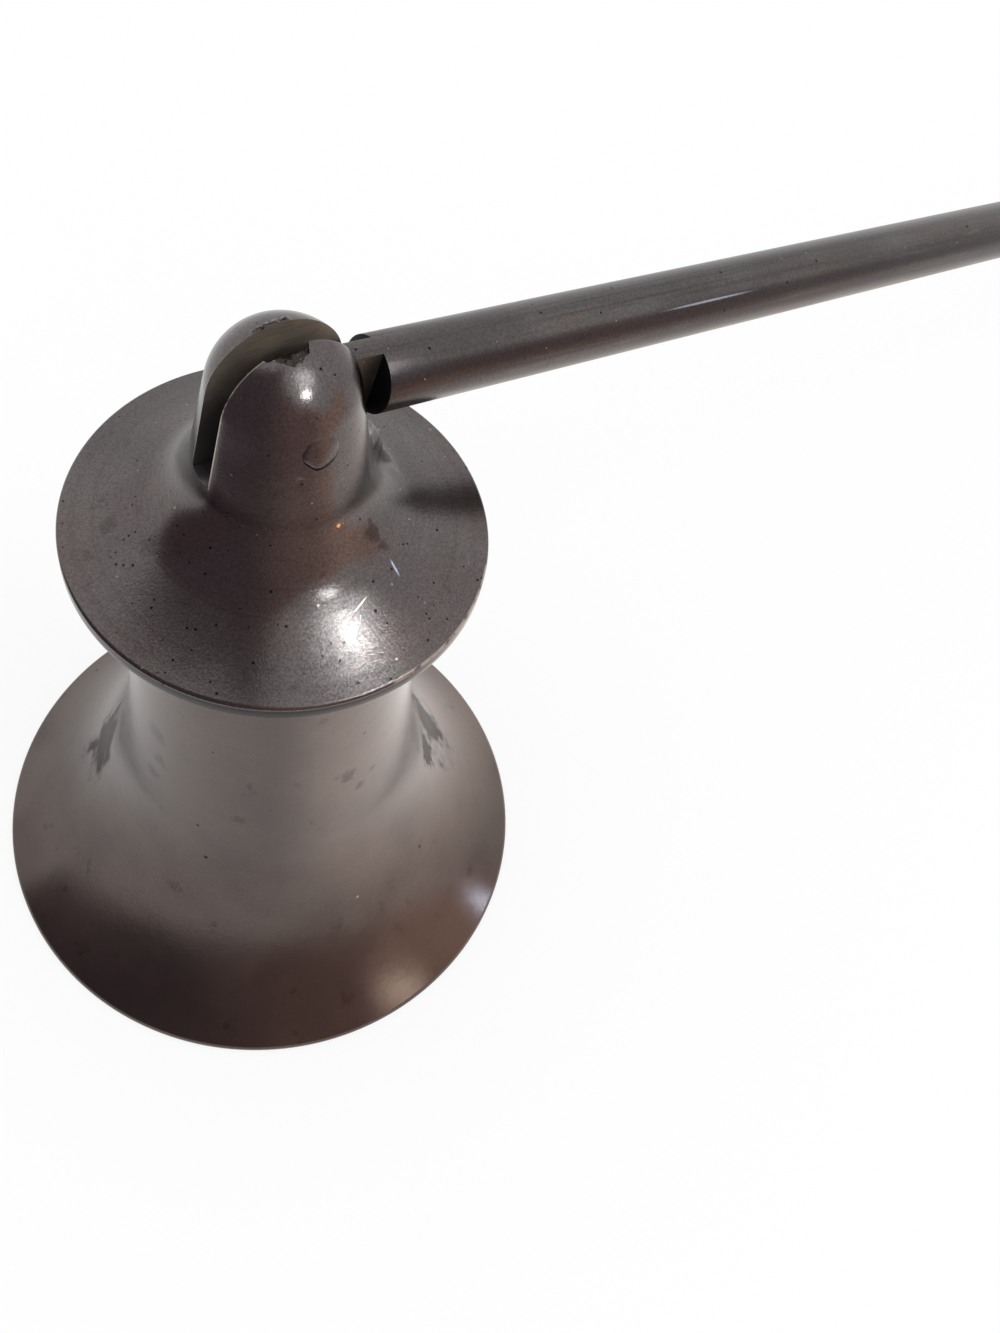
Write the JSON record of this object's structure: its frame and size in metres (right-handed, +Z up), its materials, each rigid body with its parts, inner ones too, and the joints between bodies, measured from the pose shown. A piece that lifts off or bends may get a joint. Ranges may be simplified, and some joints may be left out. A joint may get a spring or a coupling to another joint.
{
  "type": "candle snuffer",
  "caption": "Flared metal bell with a disc and forked knob on top; a long round handle hinges on a pin through the fork and lowers the bell over a flame.",
  "frame": {"origin": "centre of the bell's rim, in the plane that the rim stands on", "axes": "+Z up along the axis of the bell, +X towards the far end of the handle"},
  "size_m": [0.2831, 0.045, 0.0616],
  "materials": {
    "bronzed_bell": "dark antique bronze over spun brass, semi-gloss lacquer",
    "bronzed_crown": "dark antique bronze over turned brass, semi-gloss lacquer, worn at the edges",
    "bronzed_handle": "dark antique bronze over drawn brass rod, brushed lengthwise",
    "bronzed_pin": "dark antique bronze over a hammered brass pin end",
    "plain_brass": "dull bare brass"
  },
  "bodies": {
    "head": {"bell": "bronzed_bell", "crown": "bronzed_crown", "crown_screw": "plain_brass", "screw_washer": "plain_brass", "pivot_pin": "bronzed_pin"},
    "handle": {"handle_rod": "bronzed_handle", "handle_finial": "bronzed_handle"}
  },
  "joints": [
    {"name": "handle_hinge", "type": "hinge", "parent": "head", "child": "handle", "pos_m": [0, 0, 0.0571], "axis": [0, -1, 0], "range_deg": [-2, 205]}
  ]
}
